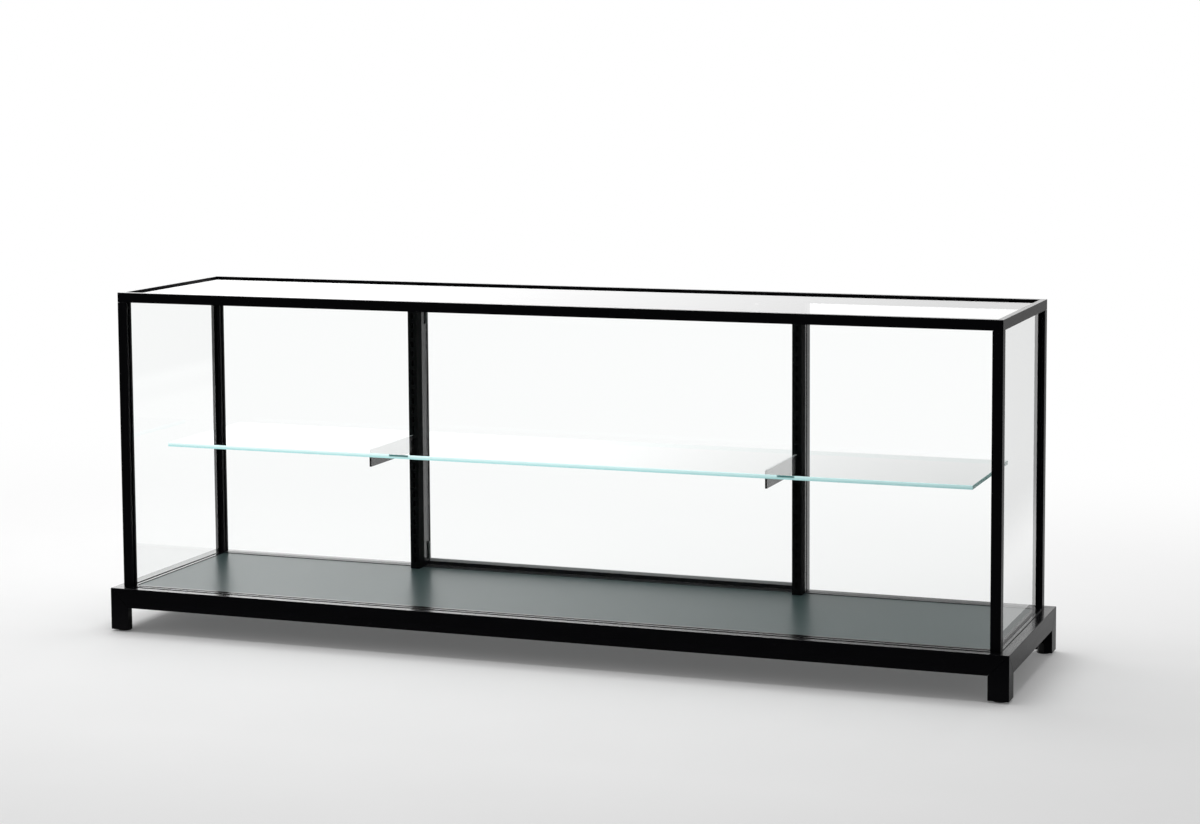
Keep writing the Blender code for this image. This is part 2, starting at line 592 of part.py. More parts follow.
def build_hinges(pivot):
    """Two lift-off hinges: a leaf with a pin on each mullion's side and a leaf with a socket on the door."""
    axis_to_door = KNUCKLE_RADIUS + KNUCKLE_GAP
    plate_right = axis_to_door - CLEAR
    plate_left = plate_right - HINGE_LEAF
    plate_end = FRAME_Y - GROOVE_NEAR + CLEAR - DOOR_MIDDLE
    touch = math.degrees(math.acos(plate_left / KNUCKLE_RADIUS))
    frame_leaf = [(plate_left, plate_end), (plate_right, plate_end), (plate_right, 0)]
    frame_leaf += arc(KNUCKLE_RADIUS, 0, 360 - touch, SEGMENTS)
    leaf_near = DOOR_THICKNESS / 2 + CLEAR
    leaf_far = leaf_near + HINGE_LEAF
    right = math.degrees(math.acos(ARM_RIGHT / KNUCKLE_RADIUS))
    left = math.degrees(math.acos(-ARM_LEFT / KNUCKLE_RADIUS))
    door_leaf = [(ARM_RIGHT, leaf_near), (axis_to_door + HINGE_LEAF_WIDTH, leaf_near)]
    door_leaf += [(axis_to_door + HINGE_LEAF_WIDTH, leaf_far), (-ARM_LEFT, leaf_far)]
    door_leaf += arc(KNUCKLE_RADIUS, left, right + 360, SEGMENTS)
    middle = HINGE_HEIGHT / 2
    axis = (HINGE_X, DOOR_MIDDLE, 0)

    def place(a, b, t):
        return HINGE_X + a, DOOR_MIDDLE + b, t

    lower = DOOR_BOTTOM + HINGE_END
    upper = RAIL_BOTTOM - FRAME_BAR - HINGE_END - HINGE_HEIGHT
    for name, bottom in (("lower", lower), ("upper", upper)):
        split = bottom + middle
        top = bottom + HINGE_HEIGHT
        origin = place(0, 0, bottom)
        bm = extrude_outline(frame_leaf, bottom, split - CLEAR, place)
        fixed = add_piece("hinge_" + name + "_frame_leaf", bm, DARK_METAL, origin, smooth=True)
        boolean(fixed, rod(PIN_RADIUS, split - middle / 2, top - PIN_CLEAR, axis, (0, 0, 1)), "UNION")
        bm = extrude_outline(door_leaf, split, top, place)
        moving = add_piece("hinge_" + name + "_door_leaf", bm, DARK_METAL, origin, pivot, smooth=True)
        boolean(moving, rod(PIN_RADIUS + PIN_CLEAR, split - middle, top + middle, axis, (0, 0, 1)))
        low = (-DOOR_INNER_X + CLEAR, DOOR_FRONT, bottom)
        high = (-DOOR_INNER_X + CLEAR + PLATE_THICKNESS, DOOR_MIDDLE - DOOR_GLASS / 2 - CLEAR, top)
        add_piece("hinge_" + name + "_plate", box(low, high), GREY_METAL, low, pivot)


def build_lock(pivot):
    """A cam lock through the door's top rail; the cam lies along the rail until the key turns it up."""
    centre = Vector((LOCK_X, 0, LOCK_Z))
    flange = DOOR_BACK + CLEAR
    face = flange + FLANGE_THICKNESS
    start = CAM_BACK + CLEAR
    bore = PLUG_RADIUS + CLEAR
    profile = [(bore, start), (BARREL_RADIUS, start), (BARREL_RADIUS, flange), (BARREL_FLANGE, flange)]
    profile += [(BARREL_FLANGE, face), (bore, face)]
    barrel = spin_profile(profile, centre, Vector((0, 1, 0)))
    add_piece("lock_barrel", barrel, GREY_METAL, (LOCK_X, flange, LOCK_Z), pivot, smooth=True)
    cam_front = CAM_BACK - CAM_THICKNESS
    reach = RAIL_BOTTOM - LOCK_Z + CAM_CATCH
    outline = [(-reach, -CAM_HALF_WIDTH)] + arc(CAM_HALF_WIDTH, -90, 90, SEGMENTS // 2)
    outline += [(-reach, CAM_HALF_WIDTH)]
    cam = extrude_outline(outline, cam_front, CAM_BACK, lambda a, b, t: (LOCK_X + a, t, LOCK_Z + b))
    cam = add_piece("lock_cam", cam, GREY_METAL, (LOCK_X, CAM_BACK, LOCK_Z), pivot, smooth=True)
    end = face + PLUG_PROUD
    boolean(cam, rod(PLUG_RADIUS, CAM_BACK - CAM_THICKNESS / 2, end, centre, Vector((0, 1, 0))), "UNION")
    half = Vector((KEYWAY_WIDTH / 2, KEYWAY_DEPTH, KEYWAY_HEIGHT / 2))
    middle = Vector((LOCK_X, end, LOCK_Z))
    boolean(cam, box(middle - half, middle + half))


def main():
    """Builds the whole case."""
    clear_scene()
    build_base()
    build_deck()
    build_sills()
    build_top_rails()
    build_posts()
    build_panes()
    build_uprights()
    build_shelf()
    build_door()


main()
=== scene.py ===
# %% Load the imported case
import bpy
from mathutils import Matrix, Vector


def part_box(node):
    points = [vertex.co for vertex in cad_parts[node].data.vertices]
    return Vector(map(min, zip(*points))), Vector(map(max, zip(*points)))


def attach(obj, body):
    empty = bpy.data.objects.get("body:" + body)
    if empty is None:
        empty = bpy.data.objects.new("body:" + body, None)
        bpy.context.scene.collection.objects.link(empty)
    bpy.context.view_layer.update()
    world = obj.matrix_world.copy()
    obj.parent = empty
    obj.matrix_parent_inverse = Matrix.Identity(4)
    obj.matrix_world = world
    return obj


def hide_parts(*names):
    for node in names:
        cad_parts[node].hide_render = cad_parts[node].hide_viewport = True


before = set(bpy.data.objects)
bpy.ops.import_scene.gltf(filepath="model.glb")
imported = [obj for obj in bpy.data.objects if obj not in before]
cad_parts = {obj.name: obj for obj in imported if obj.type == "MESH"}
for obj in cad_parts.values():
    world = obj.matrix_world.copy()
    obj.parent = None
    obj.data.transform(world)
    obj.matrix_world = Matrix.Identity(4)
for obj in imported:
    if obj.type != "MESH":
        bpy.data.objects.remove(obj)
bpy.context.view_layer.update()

# %% [markdown]
# This is a long glass case on four short legs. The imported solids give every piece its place. They
# could be shown as they are, but real bars and sheets have eased edges that catch the light, so
# most pieces are made again here with such edges, and each one gets a finish. Values are in
# metres, +X runs along the case and the front faces -Y.

# %% Tools used all through
import math

import bpy
import numpy as np
from mathutils import Matrix

print("Blender", bpy.app.version_string, "with", len(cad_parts), "packed solids")

# %% [markdown]
# The case is seen from the front right, a little above it, through a long lens. A camera could be
# placed by eye, but here it was fitted to the corners of the case, which is more exact. The lens
# is shifted, as a studio photographer does, so that the posts stay nearly upright in the picture
# without tipping the camera far down.

# %% Camera
IMAGE_WIDTH = 1200          # width of the picture in pixels
FOCAL_PIXELS = 2636.2       # focal length in the same pixels
SENSOR = 36.0               # width of the sensor in millimetres
CAMERA_PLACE = np.array([1.8939, -4.8827, 1.1982])
YAW, PITCH, ROLL = np.radians([20.564, -5.356, -0.351])
LENS_SHIFT = -0.10          # as a share of the picture's width


def put(name, data):
    """Makes an object of some data and puts it in the scene."""
    thing = bpy.data.objects.new(name, data)
    bpy.context.scene.collection.objects.link(thing)
    return thing


forward = np.array([-np.sin(YAW) * np.cos(PITCH), np.cos(YAW) * np.cos(PITCH), np.sin(PITCH)])
sideways = np.array([np.cos(YAW), np.sin(YAW), 0.0])
upward = np.cross(sideways, forward)
camera_x = sideways * np.cos(ROLL) + upward * np.sin(ROLL)
camera_y = upward * np.cos(ROLL) - sideways * np.sin(ROLL)
lens = bpy.data.cameras.new("studio_camera")
lens.sensor_width = SENSOR
lens.lens = FOCAL_PIXELS * SENSOR / IMAGE_WIDTH
lens.shift_y = LENS_SHIFT
camera = put("studio_camera", lens)
stand = np.eye(4)
stand[:3, :3] = np.stack([camera_x, camera_y, -forward], axis=1)
stand[:3, 3] = CAMERA_PLACE
camera.matrix_world = Matrix(stand.tolist())
bpy.context.scene.camera = camera
bpy.context.scene.view_settings.view_transform = "Standard"
print("lens %.1f mm" % lens.lens)


# %% [markdown]
# Finishes are node trees. In Blender's editor a tree is drawn as boxes and links, but in a script
# it is easier to read as a sum. This small class holds one socket. Adding or multiplying two of
# them adds a Math node, and `make` adds any other node.

# %% Sockets as numbers
class Wire:
    """One output socket of a node tree that can be used like a number."""

    def __init__(self, tree, socket=None):
        self.tree = tree
        self.socket = socket

    def make(self, kind, settings=None, inputs=None, output=0):
        """Adds a node, makes its settings, then gives each named input a value or a link."""
        node = self.tree.nodes.new(kind)
        for key, value in (settings or {}).items():
            setattr(node, key, value)
        for key, value in (inputs or {}).items():
            if isinstance(value, Wire):
                self.tree.links.new(value.socket, node.inputs[key])
            else:
                node.inputs[key].default_value = value
        return Wire(self.tree, node.outputs[output]) if len(node.outputs) else None

    def math(self, operation, first, second):
        """A Math node on two values."""
        return self.make("ShaderNodeMath", {"operation": operation}, {0: first, 1: second})

    def __add__(self, other):
        return self.math("ADD", self, other)

    __radd__ = __add__

    def __sub__(self, other):
        return self.math("SUBTRACT", self, other)

    def __rsub__(self, other):
        return self.math("SUBTRACT", other, self)

    def __mul__(self, other):
        return self.math("MULTIPLY", self, other)

    __rmul__ = __mul__

    def __truediv__(self, other):
        return self.math("DIVIDE", self, other)

    def __rtruediv__(self, other):
        return self.math("DIVIDE", other, self)

    def __gt__(self, other):
        return self.math("GREATER_THAN", self, other)

    def step(self, low, high):
        """Runs smoothly from 0 at low to 1 at high."""
        return self.make("ShaderNodeMapRange", {"interpolation_type": "SMOOTHSTEP"},
                         {"Value": self, "From Min": low, "From Max": high})

    def blend(self, dark, light):
        """A colour that goes from dark to light as this value goes from 0 to 1."""
        return self.make("ShaderNodeMix", {"data_type": "RGBA"}, {0: self, 6: dark, 7: light}, 2)

    def part(self, axis):
        """One of the three numbers of a vector: 0 is X, 1 is Y and 2 is Z."""
        return self.make("ShaderNodeSeparateXYZ", inputs={0: self}, output=axis)


print("sockets add, subtract, multiply, divide and compare")


# %% [markdown]
# Some steps come back in nearly every tree: start it, read a place on the piece, add noise, mix
# two shaders. Each could be written out every time, but a short helper keeps the finishes easy to
# read.

# %% Helpers for node trees
def rgb(red, green, blue):
    """A colour with full alpha."""
    return (red, green, blue, 1.0)


def grey(tone):
    """A colour with three equal channels."""
    return rgb(tone, tone, tone)


def blank_tree(owner):
    """An empty node tree of a material or world, as a Wire to build on."""
    owner.use_nodes = True
    owner.node_tree.nodes.clear()
    return Wire(owner.node_tree)


def finish_of(name):
    """A new material and the Wire that builds its tree."""
    material = bpy.data.materials.new(name)
    return material, blank_tree(material)


def show(tree, shader):
    """Links a shader to the material's output."""
    tree.make("ShaderNodeOutputMaterial", inputs={"Surface": shader})


def own_place(tree):
    """Object coordinates: the place of each point in metres."""
    return tree.make("ShaderNodeTexCoord", output="Object")


def noise(place, scale, detail):
    """Soft noise from 0 to 1 over a place, with about scale blots to the metre."""
    return place.make("ShaderNodeTexNoise",
                      inputs={"Vector": place, "Scale": scale, "Detail": detail})


def emission(tree, colour):
    """A surface that is seen in one colour, whatever light falls on it."""
    return tree.make("ShaderNodeEmission", inputs={"Color": colour, "Strength": 1.0})


def mix_shader(factor, first, second):
    """The first shader where the factor is 0 and the second where it is 1."""
    return factor.make("ShaderNodeMixShader", inputs={0: factor, 1: first, 2: second})


def seen_ray(tree):
    """1 for rays from the eye, from gloss or through glass, and 0 for rays that carry light."""
    eye, gloss, through = [tree.make("ShaderNodeLightPath", output=name) for name in
                           ("Is Camera Ray", "Is Glossy Ray", "Is Transmission Ray")]
    return eye + gloss + through > 0.5


print("helpers ready")

# %% [markdown]
# The case stands in a white studio. Walls and lamps could be modelled, but a plain room does as
# well. Its white is only seen: rays from the eye and rays mirrored by gloss or glass find a white
# room, while rays that carry light find a grey one. In a mirror the room is brightest at the back
# left, dimmer high up at the back right and nearly dark in front, so the front of a black frame
# stays black.

# %% World
FILL_LIGHT = 0.40           # strength of the grey room
FRONT_LEVEL = 0.02          # brightness in front of the case, seen in gloss
LEFT_LEVEL = 1.55           # brightness of the lit panel at the back left, seen in gloss
DIM_LEVEL = 0.87            # how much darker the upper back right is
DIM_RETURN = 0.5            # share of that which is taken back further to the right
FRONT_EDGE = (-0.15, 0.15)  # each edge is soft and lies between two directions, this one in Y
PANEL_EDGE = (-0.50, -0.16)
RETURN_EDGE = (-0.215, -0.175)
DIM_EDGE = [math.sin(math.radians(angle)) for angle in (5.0, 13.5)]

world = bpy.data.worlds.new("studio_room")
bpy.context.scene.world = world
tree = blank_tree(world)
direction = tree.make("ShaderNodeTexCoord", output="Generated")
way_x, way_y, way_z = [direction.part(axis) for axis in range(3)]
to_right = way_x.step(*PANEL_EDGE)
behind = way_y.step(*FRONT_EDGE)
panel = 1 + (1 - to_right) * (LEFT_LEVEL - 1)
kept_dim = 1 - DIM_RETURN * way_x.step(*RETURN_EDGE)
dimmed = DIM_LEVEL * way_z.step(*DIM_EDGE) * to_right * kept_dim
mirrored = panel * (1 - dimmed) * (behind * (1 - FRONT_LEVEL) + FRONT_LEVEL)
is_eye = tree.make("ShaderNodeLightPath", output="Is Camera Ray")
is_gloss = seen_ray(tree) - is_eye
strength = is_eye + is_gloss * mirrored + (1 - is_eye - is_gloss) * FILL_LIGHT
room = tree.make("ShaderNodeBackground", inputs={"Color": grey(1), "Strength": strength})
tree.make("ShaderNodeOutputWorld", inputs={"Surface": room})
print("room ready, fill", FILL_LIGHT)

# %% [markdown]
# A large soft lamp hangs over the case. A small lamp would draw hard shadows. This one is much
# wider than the case is deep, so the shadow under the legs is soft and the board is lit through
# the glass.

# %% Lamp
LAMP_SIZE = (4.2, 3.0)
LAMP_POWER = 120.0          # watts
LAMP_PLACE = (-0.7, 0.7, 3.2)

lamp = bpy.data.lights.new("overhead_softbox", "AREA")
lamp.shape = "RECTANGLE"
lamp.size, lamp.size_y = LAMP_SIZE
lamp.energy = LAMP_POWER
softbox = put("overhead_softbox", lamp)
softbox.location = LAMP_PLACE
print("lamp", lamp.energy, "W")

# %% [markdown]
# The floor is a pale sheet that runs far back. One large face would do, but a grid is the
# plainest example of a surface worked out with numpy, and the other pieces are made in the same
# way.

# %% Floor sheet
FLOOR_REACH = 40.0
FLOOR_LINES = 41


def level_sheet(name, x, y):
    """A level sheet: point (i, j) is (x[i], y[j], 0), and each cell of the grid is one face."""
    across, along = np.meshgrid(x, y, indexing="ij")
    points = np.stack([across, along, np.zeros_like(across)], axis=-1).reshape(-1, 3)
    count = len(y)
    i, j = np.indices((len(x) - 1, count - 1)).reshape(2, -1)
    first = i * count + j
    faces = np.stack([first, first + count, first + count + 1, first + 1], axis=1)
    mesh = bpy.data.meshes.new(name)
    mesh.from_pydata(points.tolist(), [], faces.tolist())
    return put(name, mesh)


spread = np.linspace(-FLOOR_REACH, FLOOR_REACH, FLOOR_LINES)
floor = level_sheet("studio_floor", spread, spread)
print("floor", FLOOR_REACH * 2, "m wide")

# %% [markdown]
# The paper is matt. Near the case it is lit like any surface and keeps the shadow, which a faint
# painted glow on the whole paper lifts a little; towards the right it is painted a darker grey, a
# painted shade. Further back it fades into the white room, so there is no horizon line. In front of
# the case the studio is dark, so gloss and glass see a dark floor there, and a dimmer one beyond
# the right end. Two mixes of shaders do this, and the light that falls on the case stays as it is.

# %% Floor paper
SHADOW_LIFT = 0.10          # painted glow: a share of white glow on the whole paper, which lifts even the deepest shadow
RIGHT_SHADE_RUN = (-2.0, 2.2)      # X from and to which painted shade takes the paper from its left grey to its darker right grey
FADE_AROUND = (1.4, 3.6)    # distance from the case's middle over which it fades
FADE_BACK = (-0.2, 2.6)     # the same towards the back, in Y
DARK_FRONT = (-0.55, -0.22)
DIM_STRIP, STRIP_START, STRIP_STOP = 0.2, (0.80, 0.95), (1.0, 1.2)
DIM_BEYOND, BEYOND_START = 0.45, (1.1, 1.35)


def either(first, second):
    """1 where either of two values is 1: first + second - first * second."""
    return first + second - first * second


paper, tree = finish_of("studio_paper")
spot = own_place(tree)
floor_x, floor_y = spot.part(0), spot.part(1)
# Painted shade: the paper is a darker grey towards the right.
pale = floor_x.step(*RIGHT_SHADE_RUN).blend(grey(0.86), grey(0.76))
fibre = noise(spot, 3.0, 3.0).blend(grey(0.96), grey(1))
sheet_colour = tree.make("ShaderNodeMix", {"data_type": "RGBA", "blend_type": "MULTIPLY"},
                         {0: 1.0, 6: pale, 7: fibre}, 2)
matt = tree.make("ShaderNodeBsdfPrincipled",
                 inputs={"Base Color": sheet_colour, "Roughness": 0.8, "IOR": 1.2})
distance = tree.make("ShaderNodeVectorMath", {"operation": "LENGTH"}, {0: spot}, "Value")
faded = either(floor_y.step(*FADE_BACK), distance.step(*FADE_AROUND))
fade = SHADOW_LIFT + (1 - SHADOW_LIFT) * faded
# Painted glow: seen rays find the paper mixed with white glow by fade, never less than SHADOW_LIFT.
ground = mix_shader(fade * seen_ray(tree), matt, emission(tree, grey(1)))
strip = floor_x.step(*STRIP_START) - floor_x.step(*STRIP_STOP)
aside = DIM_STRIP * strip + DIM_BEYOND * floor_x.step(*BEYOND_START)
in_front = 1 - floor_y.step(*DARK_FRONT)
gloss_ray = tree.make("ShaderNodeLightPath", output="Is Glossy Ray")
unseen = either(in_front, aside) * gloss_ray
show(tree, mix_shader(unseen, ground, emission(tree, grey(0.02))))
floor.data.materials.append(paper)
print("paper has faded", FADE_AROUND[1], "m from the middle")

# %% [markdown]
# The frame is aluminium bar with a satin black coat. One flat black would look drawn, so very
# fine brushed lines run along every bar and change its colour and gloss a little. The lines
# follow the bar, so the pattern reads the bar's own UV map, in which U is the way along and V the
# way round.

# %% Black frame finish
BRUSHED = (5.0, 900.0)      # noise to the metre along a bar and round it
CLOUDED = (9.0, 30.0)
LOOKS_UP = (0.7, 0.95)      # upward part of the normal from which a face counts as looking up


def along_bar(tree, stretch):
    """The bar's own UV map, with its two directions stretched by two factors."""
    wrap = tree.make("ShaderNodeUVMap", {"uv_map": "wrap"})
    return tree.make("ShaderNodeMapping", inputs={"Vector": wrap, "Scale": (*stretch, 1.0)})


def bump(height, strength, depth):
    """A Bump node that raises the surface by a height pattern."""
    return height.make("ShaderNodeBump",
                       inputs={"Strength": strength, "Distance": depth, "Height": height})


def sway(pattern, amount):
    """A pattern from 0 to 1 made into a change from -amount / 2 to amount / 2."""
    return (pattern - 0.5) * amount


def satin_black(name, low, high, rough, ior, top_sheen):
    """A dark coat with brushed lines: colour and gloss change slightly from line to line.

    Faces that look up get a clear coat of the given strength, a painted sheen that makes the tops
    mirror more than the sides."""
    material, tree = finish_of(name)
    lines = noise(along_bar(tree, BRUSHED), 1.0, 4.0)
    cloud = noise(along_bar(tree, CLOUDED), 1.0, 2.0)
    colour = (lines * 0.6 + cloud * 0.4).blend(low, high)
    gloss = rough + sway(lines, 0.10) + sway(cloud, 0.06)
    # Painted sheen: only faces that look up get the clear coat.
    looks_up = tree.make("ShaderNodeNewGeometry", output="True Normal").part(2).step(*LOOKS_UP)
    coat = tree.make("ShaderNodeBsdfPrincipled",
                     inputs={"Base Color": colour, "Roughness": gloss, "IOR": ior,
                             "Coat Weight": looks_up * top_sheen, "Coat Roughness": 0.18,
                             "Coat IOR": 1.55, "Normal": bump(lines, 0.04, 0.0001)})
    show(tree, coat)
    return material


black_frame = satin_black("black_frame", rgb(0.002, 0.002, 0.0025), rgb(0.005, 0.005, 0.006),
                          rough=0.22, ior=1.11, top_sheen=1.0)
# dark_bar and dark_rail are the same black coat again, for the mullions, stiles, door rails and
# rear sill. Their paler tones and other gloss and mirror are painted light, not another finish.
dark_bar = satin_black("dark_bar", rgb(0.003, 0.004, 0.005), rgb(0.006, 0.007, 0.008),
                       rough=0.26, ior=1.62, top_sheen=0.5)
dark_rail = satin_black("dark_rail", rgb(0.012, 0.013, 0.014), rgb(0.020, 0.021, 0.022),
                        rough=0.32, ior=1.30, top_sheen=0.2)
print("frame finishes:", black_frame.name, dark_bar.name, dark_rail.name)

# %% [markdown]
# Brackets and hinges are steel with a baked powder coat, which leaves small dimples. They are far
# too small to model, so a Bump node dents the surface instead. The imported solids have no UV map,
# so the pattern reads Object coordinates. Trim, lock, feet and pads use the same function with
# other values.

# %% Powder coat and other small finishes
CLOUDS = 24.0               # slow clouds to the metre


def powder_coat(name, low, high, rough, ior, metal=0.0, scale=900.0, depth=0.0002):
    """A coat with fine dimples: noise changes colour and gloss and dents the surface."""
    material, tree = finish_of(name)
    spot = own_place(tree)
    grain = noise(spot, scale, 2.0)
    cloud = noise(spot, CLOUDS, 3.0)
    colour = (grain * 0.5 + cloud * 0.5).blend(low, high)
    coat = tree.make("ShaderNodeBsdfPrincipled",
                     inputs={"Base Color": colour, "Roughness": rough + sway(cloud, 0.12),
                             "IOR": ior, "Metallic": metal, "Normal": bump(grain, 0.15, depth)})
    show(tree, coat)
    return material


black_steel = powder_coat("black_steel", grey(0.005), grey(0.012), rough=0.24, ior=1.85)
grey_trim = powder_coat("grey_trim", rgb(0.52, 0.53, 0.53), rgb(0.62, 0.63, 0.63),
                        rough=0.38, ior=1.45, scale=500.0)
lock_steel = powder_coat("lock_steel", rgb(0.52, 0.51, 0.49), rgb(0.66, 0.65, 0.63),
                         rough=0.24, ior=1.5, metal=1.0, scale=1400.0, depth=0.00005)
black_plastic = powder_coat("black_plastic", grey(0.010), grey(0.020),
                            rough=0.5, ior=1.4, scale=700.0)
soft_pad = powder_coat("soft_pad", rgb(0.50, 0.55, 0.54), rgb(0.62, 0.66, 0.65),
                       rough=0.42, ior=1.4, scale=300.0)
plain_bar = powder_coat("dark_bar_plain", rgb(0.005, 0.006, 0.006), rgb(0.009, 0.010, 0.010),
                        rough=0.55, ior=1.04, depth=0.00005)
plate_grey = powder_coat("plate_grey", rgb(0.09, 0.105, 0.10), rgb(0.13, 0.15, 0.145),
                         rough=0.40, ior=1.5)
print("small finishes made")

# %% [markdown]
# The board that objects stand on is a laminate in a grey with a touch of green. It is satin: the
# slotted bars behind it mirror in it as long blurred streaks. A picture of laminate could be laid
# on it, but noise needs no picture: fine speckle and a slow change of tone keep it from looking
# flat.

# %% Deck board
DECK_ROUGH = 0.31

deck_board, tree = finish_of("deck_board")
spot = own_place(tree)
speckle = noise(spot, 420.0, 3.0)
drift = noise(spot, 2.4, 3.0)
tone = (speckle * 0.6 + drift * 0.4).blend(rgb(0.030, 0.050, 0.050), rgb(0.046, 0.072, 0.072))
gloss = DECK_ROUGH + sway(drift, 0.03) + sway(speckle, 0.04)
laminate = tree.make("ShaderNodeBsdfPrincipled",
                     inputs={"Base Color": tone, "Roughness": gloss, "IOR": 1.5,
                             "Normal": bump(speckle, 0.03, 0.0001)})
show(tree, laminate)
print("board finish made")

# %% [markdown]
# Clear glass lets the room through and mirrors a part of it, more at a flat angle. A glass shader
# would bend the light twice in every sheet, which makes grain, so a transparent and a mirror
# shader are mixed instead. A real sheet mirrors on both faces, to and fro, and the sum is 2R / (1
# + R) of one face's share R. All of it goes on the face that is met first.

# %% Glass faces
GLASS_INDEX = 1.5
BLOOM = 0.034               # share of the mirror that the glass's thin anti-glare film takes away


def glass_face(name, clear, smear):
    """Sheet glass: transparent and mirror, mixed by the Fresnel share, with a faint wiping haze."""
    material, tree = finish_of(name)
    far_side = tree.make("ShaderNodeNewGeometry", output="Backfacing")
    share = tree.make("ShaderNodeFresnel", inputs={"IOR": GLASS_INDEX})
    haze = noise(own_place(tree), 3.0, 4.0)
    through = tree.make("ShaderNodeBsdfTransparent", inputs={"Color": clear})
    mirror = tree.make("ShaderNodeBsdfGlossy", inputs={"Color": grey(1), "Roughness": 0.0})
    cut = tree.make("ShaderNodeClamp", inputs={"Value": (share - BLOOM) * (1 / (1 - BLOOM))})
    amount = 2 * cut / (1 + cut) * (1 - far_side) * (1 - haze * smear)
    show(tree, mix_shader(amount, through, mirror))
    return material


clear_glass = glass_face("clear_glass", rgb(0.997, 1.0, 0.999), smear=0.04)
print("one face mirrors", round(((GLASS_INDEX - 1) / (GLASS_INDEX + 1)) ** 2, 3), "without film")

# %% [markdown]
# Seen from its edge the same glass is green, because the light has come a long way through it. The
# front edge of the shelf shows light from 0.3 m of glass. Its right end shows light from the whole
# length, so it is far darker. The upper part of the front edge mirrors the bright room and is
# nearly white, and two short dark marks are the black brackets seen through it. Tracing this light
# through the glass would be slow, so the edge is given a glow of its own: the green light, the
# white of the mirrored room and the dark marks are all painted into it. From inside the edge is
# clear.

# %% Glass edges
TO_END, TO_FRONT = (0.2, 0.9), (-0.9, -0.2)     # soft limits on the normal's X and Y
GROUND_LINES = (14.0, 14.0, 900.0)              # noise to the metre in X, Y and Z
PALE_LEFT, PALE_LOSS, PALE_RUN = 0.9, 0.6, (-0.8, 0.85)     # white at the left, lost over X
DEEP_GLOW, GLOW_RUN = 0.40, (-0.2, 1.2)         # share of the glow that is left at the right
EDGE_WHITE = rgb(0.82, 0.90, 0.90)
MARK_LIGHT = rgb(0.02, 0.09, 0.09)
MARK_FADE = 0.004           # length over which a dark mark sets in


def scaled(colour, factor):
    """A colour with its three channels multiplied by a factor."""
    return rgb(*[channel * factor for channel in colour[:3]])


def glass_edge(name, near, far, lit, bottom, top, marks=()):
    """Edge of a sheet: a pale green glow, but dark where it faces the right end.

    Over the height from bottom to top the glow pales to white. Each mark is a stretch of X where
    something dark behind the front edge shows through it."""
    material, tree = finish_of(name)
    spot = own_place(tree)
    length, upper = spot.part(0), spot.part(2).step(bottom, top)
    normal = tree.make("ShaderNodeNewGeometry", output="Normal")
    to_end = normal.part(0).step(*TO_END)
    to_front = 1 - normal.part(1).step(*TO_FRONT)
    pale = upper * (PALE_LEFT - PALE_LOSS * length.step(*PALE_RUN))
    glow = length.step(*GLOW_RUN).blend(scaled(near, lit), scaled(near, lit * DEEP_GLOW))
    colour = to_end.blend(near, far)
    light = to_end.blend(pale.blend(glow, scaled(EDGE_WHITE, lit)), scaled(far, lit))
    # Painted reflection: over each bracket the edge's glow and colour turn dark.
    for start, stop in marks:
        inside_mark = length.step(start, start + MARK_FADE) - length.step(stop - MARK_FADE, stop)
        mark = inside_mark * upper * to_front
        light = mark.blend(light, MARK_LIGHT)
        colour = mark.blend(colour, far)
    streak = tree.make("ShaderNodeMapping", inputs={"Vector": spot, "Scale": GROUND_LINES})
    edge = tree.make("ShaderNodeBsdfPrincipled",
                     inputs={"Base Color": colour, "IOR": 1.5,
                             "Roughness": 0.12 + noise(streak, 1.0, 2.0) * 0.12,
                             "Emission Color": light, "Emission Strength": 1.0})
    inside = tree.make("ShaderNodeNewGeometry", output="Backfacing")
    clear = tree.make("ShaderNodeBsdfTransparent", inputs={"Color": rgb(0.93, 0.985, 0.98)})
    show(tree, mix_shader(inside, edge, clear))
    return material


print("an edge keeps", DEEP_GLOW, "of its glow at the right")

# %% [markdown]
# Only the shelf shows its edges. All other sheets sit in the frame, where no light reaches the
# edge, so theirs is painted nearly black, a painted shade with no glow. The height at which the
# shelf's edge turns white is read from its solid.

# %% Shelf edge and hidden edges
WHITE_FROM, WHITE_TO = 0.002, 0.006             # heights above the shelf's lower face
BRACKET_MARKS = ((-0.335, -0.289), (0.472, 0.510))


def corners_of(node):
    """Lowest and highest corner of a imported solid, as two arrays."""
    return [np.array(corner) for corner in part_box(node)]


shelf_bottom = corners_of("shelf_glass")[0][2]
glass_rim = glass_edge("glass_rim", rgb(0.37, 0.61, 0.61), rgb(0.016, 0.075, 0.068), lit=0.78,
                       bottom=shelf_bottom + WHITE_FROM, top=shelf_bottom + WHITE_TO,
                       marks=BRACKET_MARKS)
# Painted shade: the edges of the framed sheets are nearly black.
hidden_rim = glass_edge("hidden_rim", rgb(0.004, 0.010, 0.009), rgb(0.003, 0.008, 0.007),
                        lit=0.0, bottom=0.0, top=1.0)
print("shelf's lower face at", round(shelf_bottom, 4))

# %% [markdown]
# Every bar, sheet and board here is a closed outline carried along a line. A Bevel modifier could
# round its corners, but an arc in the outline itself gives full control of each corner. Two extra
# points close to each arc keep the wide faces flat when the shading is smooth.

# %% Outlines
ARC_STEPS = 3
ARC_GUARD = 0.0003          # distance from an arc to the point that keeps the flat face flat


def unit(rows):
    """Rows of vectors, each divided by its length."""
    return rows / np.linalg.norm(rows, axis=1, keepdims=True)


